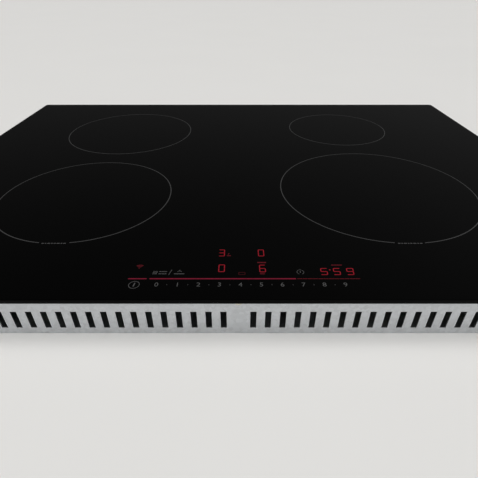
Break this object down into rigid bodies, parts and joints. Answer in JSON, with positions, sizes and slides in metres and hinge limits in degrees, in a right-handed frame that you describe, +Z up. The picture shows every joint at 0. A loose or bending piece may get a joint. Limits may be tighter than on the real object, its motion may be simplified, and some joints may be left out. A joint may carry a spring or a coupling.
{
  "type": "induction hob",
  "caption": "Built-in induction hob: frameless black glass plate with round cooking zones and a touch control strip over a shallow sheet-metal tray holding coils, electronics and blowers.",
  "frame": {"origin": "middle of the glass in plan, on the worktop's upper face, which is the underside of the edge seal", "axes": "+Z up, +X to the right as a cook sees it, +Y to the rear, front edge of the glass at -Y"},
  "size_m": [0.71, 0.522, 0.051],
  "materials": {
    "ceramic_glass": "polished black glass-ceramic",
    "seal_foam": "matt closed-cell foam",
    "zinc_steel": "zinc-coated sheet",
    "mica": "pressed mica",
    "aluminium_sheet": "mill finish",
    "spring_steel": "hardened spring steel",
    "screw_steel": "zinc plated",
    "circuit_board": "solder-mask varnish",
    "chip_plastic": "moulded",
    "capacitor_box": "moulded box",
    "relay_case": "moulded case",
    "copper_wire": "enamelled stranded copper",
    "black_plastic": "moulded",
    "touch_circuit": "solder-mask varnish",
    "pad_rubber": "conductive foam",
    "red_lens": "tinted lens",
    "cable_sleeve": "flat ribbon",
    "light_plastic": "moulded",
    "lead_sleeve": "insulated wire",
    "blank_label": "blank satin plate",
    "sink_aluminium": "extruded",
    "fan_plastic": "moulded",
    "former_plastic": "heat-resistant moulding",
    "ferrite": "sintered",
    "sensor_rubber": "silicone",
    "zone_print": "grey enamel print on the glass",
    "lit_red": "red light shining through the glass"
  },
  "bodies": {
    "hob_body": {"glass_plate": "ceramic_glass", "edge_seal": "seal_foam", "glass_frame": "zinc_steel", "insulation_sheet": "mica", "coil_plate": "aluminium_sheet", "lower_tray": "zinc_steel", "clip_seats": "spring_steel", "case_screws": "screw_steel", "filter_board": "circuit_board", "power_transistors": "chip_plastic", "bridge_rectifiers": "chip_plastic", "capacitors": "capacitor_box", "relays": "relay_case", "filter_chokes": "copper_wire", "terminal_box": "light_plastic", "terminal_block": "black_plastic", "terminal_screws": "screw_steel", "cable_clamp": "black_plastic", "supply_leads": "lead_sleeve", "rating_plate": "blank_label", "left_power_board": "circuit_board", "left_heat_sink": "sink_aluminium", "left_fan_housing": "black_plastic", "right_power_board": "circuit_board", "right_heat_sink": "sink_aluminium", "right_fan_housing": "black_plastic"},
    "rear_left_coil_unit": {"rear_left_former": "former_plastic", "rear_left_winding": "copper_wire", "rear_left_ferrites": "ferrite", "rear_left_springs": "spring_steel", "rear_left_sensor": "sensor_rubber"},
    "front_left_coil_unit": {"front_left_former": "former_plastic", "front_left_winding": "copper_wire", "front_left_ferrites": "ferrite", "front_left_springs": "spring_steel", "front_left_sensor": "sensor_rubber"},
    "rear_right_coil_unit": {"rear_right_former": "former_plastic", "rear_right_winding": "copper_wire", "rear_right_ferrites": "ferrite", "rear_right_springs": "spring_steel", "rear_right_sensor": "sensor_rubber"},
    "front_right_coil_unit": {"front_right_former": "former_plastic", "front_right_winding": "copper_wire", "front_right_ferrites": "ferrite", "front_right_springs": "spring_steel", "front_right_sensor": "sensor_rubber"},
    "control_unit": {"control_carrier": "black_plastic", "touch_board": "touch_circuit", "touch_pads": "pad_rubber", "number_displays": "red_lens", "control_springs": "spring_steel", "ribbon_cable": "cable_sleeve"},
    "left_impeller": {"left_fan_rotor": "fan_plastic"},
    "right_impeller": {"right_fan_rotor": "fan_plastic"},
    "front_left_clip_leaf": {"front_left_clip": "spring_steel"},
    "rear_left_clip_leaf": {"rear_left_clip": "spring_steel"},
    "front_right_clip_leaf": {"front_right_clip": "spring_steel"},
    "rear_right_clip_leaf": {"rear_right_clip": "spring_steel"},
    "terminal_door": {"terminal_cover": "light_plastic"}
  },
  "joints": [
    {"name": "rear_left_coil_float", "type": "slide", "parent": "hob_body", "child": "rear_left_coil_unit", "axis": [0, 0, 1], "range_m": [-0.0025, 0], "stiffness_N_per_m": 4000, "springref_m": 0.004, "deforming": ["rear_left_springs"]},
    {"name": "front_left_coil_float", "type": "slide", "parent": "hob_body", "child": "front_left_coil_unit", "axis": [0, 0, 1], "range_m": [-0.0025, 0], "stiffness_N_per_m": 4000, "springref_m": 0.004, "deforming": ["front_left_springs"]},
    {"name": "rear_right_coil_float", "type": "slide", "parent": "hob_body", "child": "rear_right_coil_unit", "axis": [0, 0, 1], "range_m": [-0.0025, 0], "stiffness_N_per_m": 4000, "springref_m": 0.004, "deforming": ["rear_right_springs"]},
    {"name": "front_right_coil_float", "type": "slide", "parent": "hob_body", "child": "front_right_coil_unit", "axis": [0, 0, 1], "range_m": [-0.0025, 0], "stiffness_N_per_m": 4000, "springref_m": 0.004, "deforming": ["front_right_springs"]},
    {"name": "control_float", "type": "slide", "parent": "hob_body", "child": "control_unit", "axis": [0, 0, 1], "range_m": [-0.0015, 0], "stiffness_N_per_m": 2000, "springref_m": 0.003, "deforming": ["control_springs", "ribbon_cable"]},
    {"name": "left_fan_spin", "type": "hinge", "parent": "hob_body", "child": "left_impeller", "pos_m": [-0.072, 0.172, -0.035], "axis": [0, 0, 1], "continuous": true},
    {"name": "right_fan_spin", "type": "hinge", "parent": "hob_body", "child": "right_impeller", "pos_m": [0.072, 0.172, -0.035], "axis": [0, 0, 1], "continuous": true},
    {"name": "front_left_clip_flex", "type": "hinge", "parent": "hob_body", "child": "front_left_clip_leaf", "pos_m": [-0.2692, -0.175, -0.0132], "axis": [0, -1, 0], "range_deg": [0, 9], "stiffness_Nm_per_rad": 0.6},
    {"name": "rear_left_clip_flex", "type": "hinge", "parent": "hob_body", "child": "rear_left_clip_leaf", "pos_m": [-0.2692, 0.165, -0.0132], "axis": [0, -1, 0], "range_deg": [0, 9], "stiffness_Nm_per_rad": 0.6},
    {"name": "front_right_clip_flex", "type": "hinge", "parent": "hob_body", "child": "front_right_clip_leaf", "pos_m": [0.2692, -0.175, -0.0132], "axis": [0, 1, 0], "range_deg": [0, 9], "stiffness_Nm_per_rad": 0.6},
    {"name": "rear_right_clip_flex", "type": "hinge", "parent": "hob_body", "child": "rear_right_clip_leaf", "pos_m": [0.2692, 0.165, -0.0132], "axis": [0, 1, 0], "range_deg": [0, 9], "stiffness_Nm_per_rad": 0.6},
    {"name": "terminal_cover_hinge", "type": "hinge", "parent": "hob_body", "child": "terminal_door", "pos_m": [-0.253, 0.2385, -0.032], "axis": [0, 0, 1], "range_deg": [0, 110]}
  ]
}
